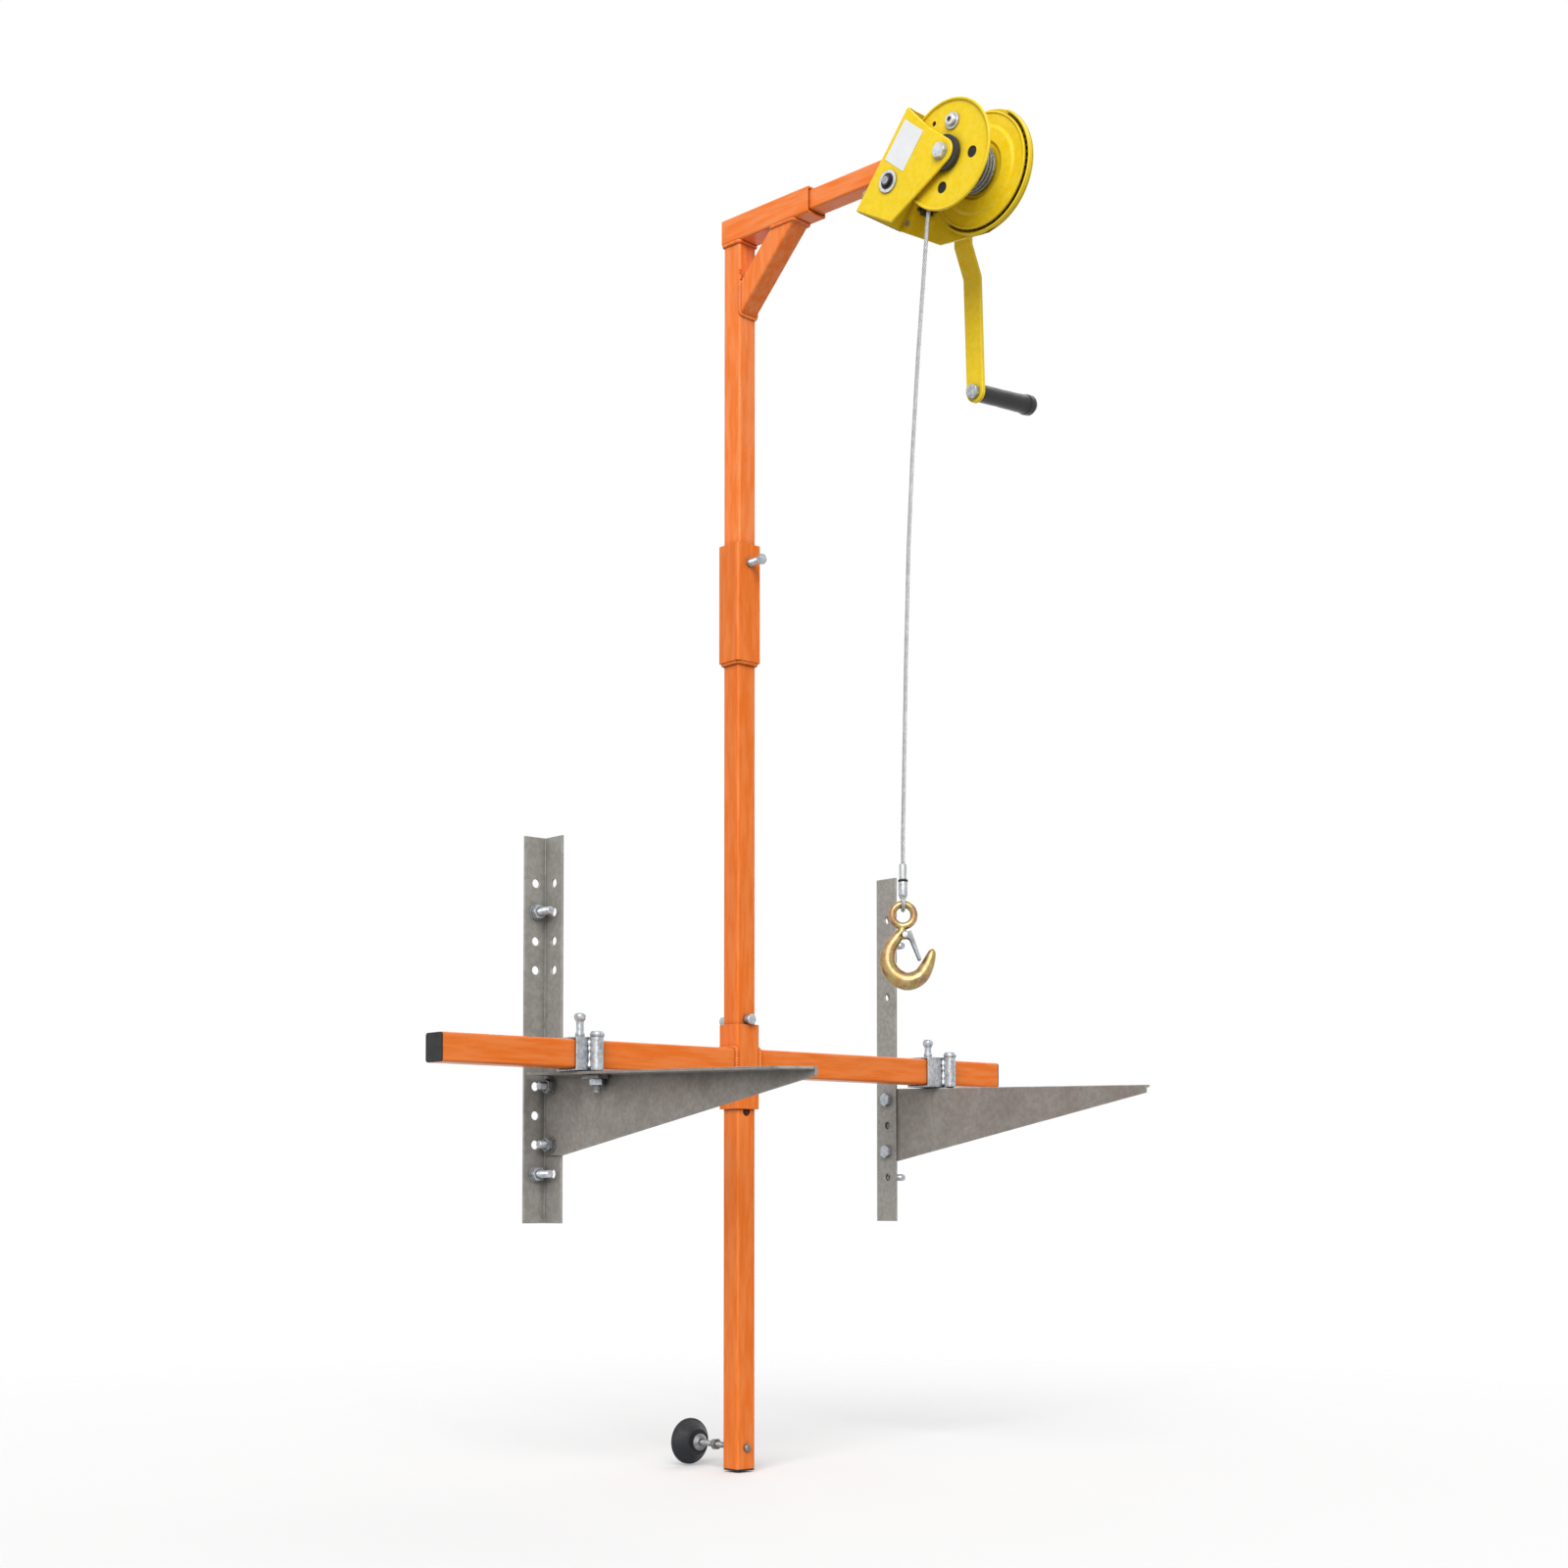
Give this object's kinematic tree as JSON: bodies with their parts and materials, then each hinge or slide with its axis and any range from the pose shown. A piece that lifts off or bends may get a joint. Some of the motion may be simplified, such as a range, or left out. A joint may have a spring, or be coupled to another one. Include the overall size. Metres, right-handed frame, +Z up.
{
  "type": "air conditioner hoist",
  "caption": "Wall-clamped mast and jib hoist with a hand winch, wire rope and safety hook, on a pair of wall brackets for an outdoor unit.",
  "frame": {"origin": "in the wall plane, at the centre of four free holes of the uprights' wall legs", "axes": "+X along the crossbar towards the crank's side, +Y into the wall, +Z up"},
  "size_m": [0.927, 0.547, 1.6631],
  "materials": {
    "orange_paint": "gloss orange paint",
    "winch_yellow": "gloss yellow paint",
    "zinc": "bright zinc plate",
    "gold_zinc": "yellow zinc plate",
    "galvanised": "weathered galvanised steel",
    "steel_rope": "galvanised wire rope",
    "black_plastic": "black moulded plastic",
    "cap_plastic": "black plastic cap",
    "rubber": "black rubber",
    "black_steel": "oiled black steel",
    "friction": "friction lining",
    "label": "white blank label",
    "bush": "dark sintered bush"
  },
  "bodies": {
    "wall_set": {"left_upright": "galvanised", "right_upright": "galvanised", "left_arm": "galvanised", "right_arm": "galvanised", "arm_bolts": "galvanised", "arm_nuts": "galvanised", "wall_anchors": "galvanised", "left_clamp": "zinc", "right_clamp": "zinc", "clamp_set_screws": "zinc", "clamp_bolts": "zinc", "clamp_jaws": "zinc", "clamp_nuts": "zinc"},
    "bar": {"crossbar": "orange_paint", "bar_caps": "cap_plastic"},
    "mast_post": {"mast": "orange_paint", "mast_cap": "cap_plastic", "mast_pin": "zinc", "sleeve_screw": "zinc"},
    "clip": {"pin_clip": "zinc"},
    "foot": {"foot_rod": "zinc", "foot_nut": "zinc"},
    "pad": {"foot_pad": "rubber"},
    "jib": {"jib_post": "orange_paint", "boom_screws": "zinc"},
    "winch": {"winch_arm": "orange_paint", "mount_bolts": "zinc", "mount_nuts": "zinc", "winch_frame": "winch_yellow", "winch_label": "label", "drum_bush": "bush", "drum_bolt": "zinc", "drum_nut": "zinc", "shaft_bush": "zinc", "ratchet": "black_steel", "pawl_pin": "zinc", "pawl_spring": "zinc", "rope": "steel_rope"},
    "rope_drum": {"drum": "winch_yellow", "drum_gear": "black_steel", "winding": "steel_rope", "rope_clamp": "zinc"},
    "crank": {"pinion": "black_steel", "brake_discs": "friction", "brake_hub": "zinc", "crank_arm": "winch_yellow", "crank_nut": "zinc", "grip_bolt": "zinc"},
    "crank_grip": {"grip": "black_plastic"},
    "pawl_lever": {"pawl": "black_steel"},
    "hook_block": {"ferrule": "zinc"},
    "hook_body": {"hook": "gold_zinc", "latch_rivet": "zinc"},
    "latch_gate": {"latch": "zinc"}
  },
  "joints": [
    {"name": "bar_slide", "type": "slide", "parent": "wall_set", "child": "bar", "axis": [1, 0, 0], "range_m": [-0.09, 0.17]},
    {"name": "mast_height", "type": "slide", "parent": "bar", "child": "mast_post", "axis": [0, 0, 1], "range_m": [0, 0.118]},
    {"name": "clip_pull", "type": "slide", "parent": "mast_post", "child": "clip", "axis": [0, 0, 1], "range_m": [0, 0.03]},
    {"name": "foot_adjust", "type": "slide", "parent": "mast_post", "child": "foot", "axis": [0, 1, 0], "range_m": [-0.025, 0]},
    {"name": "pad_tilt", "type": "hinge", "parent": "foot", "child": "pad", "pos_m": [-0.0545, -0.006, -0.4945], "axis": [1, 0, 0], "range_deg": [-6, 6]},
    {"name": "arm_lift", "type": "slide", "parent": "mast_post", "child": "jib", "axis": [0, 0, 1], "range_m": [0, 0.08]},
    {"name": "boom_reach", "type": "slide", "parent": "jib", "child": "winch", "axis": [0.0872, -0.9962, 0], "range_m": [-0.05, 0.04]},
    {"name": "drum_spin", "type": "hinge", "parent": "winch", "child": "rope_drum", "pos_m": [-0.02191, -0.47552, 1.06391], "axis": [0.9962, 0.0872, 0], "range_deg": [0, 1040]},
    {"name": "crank_spin", "type": "hinge", "parent": "winch", "child": "crank", "pos_m": [-0.02917, -0.39255, 1.05294], "axis": [0.9962, 0.0872, 0], "range_deg": [-4170, 0]},
    {"name": "grip_spin", "type": "hinge", "parent": "crank", "child": "crank_grip", "pos_m": [0.09738, -0.38148, 0.83707], "axis": [0.9918, 0.0868, 0.0941], "continuous": true},
    {"name": "pawl_lift", "type": "hinge", "parent": "winch", "child": "pawl_lever", "pos_m": [0.02627, -0.34923, 1.03789], "axis": [0.9962, 0.0872, 0], "range_deg": [0, 12], "stiffness_Nm_per_rad": 0.05, "springref_deg": -11.46},
    {"name": "hook_lift", "type": "slide", "parent": "winch", "child": "hook_block", "axis": [0, 0, 1], "range_m": [0, 0.5], "deforming": ["rope"]},
    {"name": "hook_swing", "type": "hinge", "parent": "hook_block", "child": "hook_body", "pos_m": [-0.06965, -0.42324, 0.1585], "axis": [0.6561, 0.7547, 0], "range_deg": [-30, 30]},
    {"name": "latch_open", "type": "hinge", "parent": "hook_body", "child": "latch_gate", "pos_m": [-0.06814, -0.42455, 0.1345], "axis": [0.6561, 0.7547, 0], "range_deg": [0, 26], "stiffness_Nm_per_rad": 0.02, "springref_deg": -17.19}
  ],
  "couplings": [
    {"joint": "crank_spin", "follows": "drum_spin", "ratio": -4},
    {"joint": "hook_lift", "follows": "drum_spin", "m_per_rad": 0.0275}
  ]
}
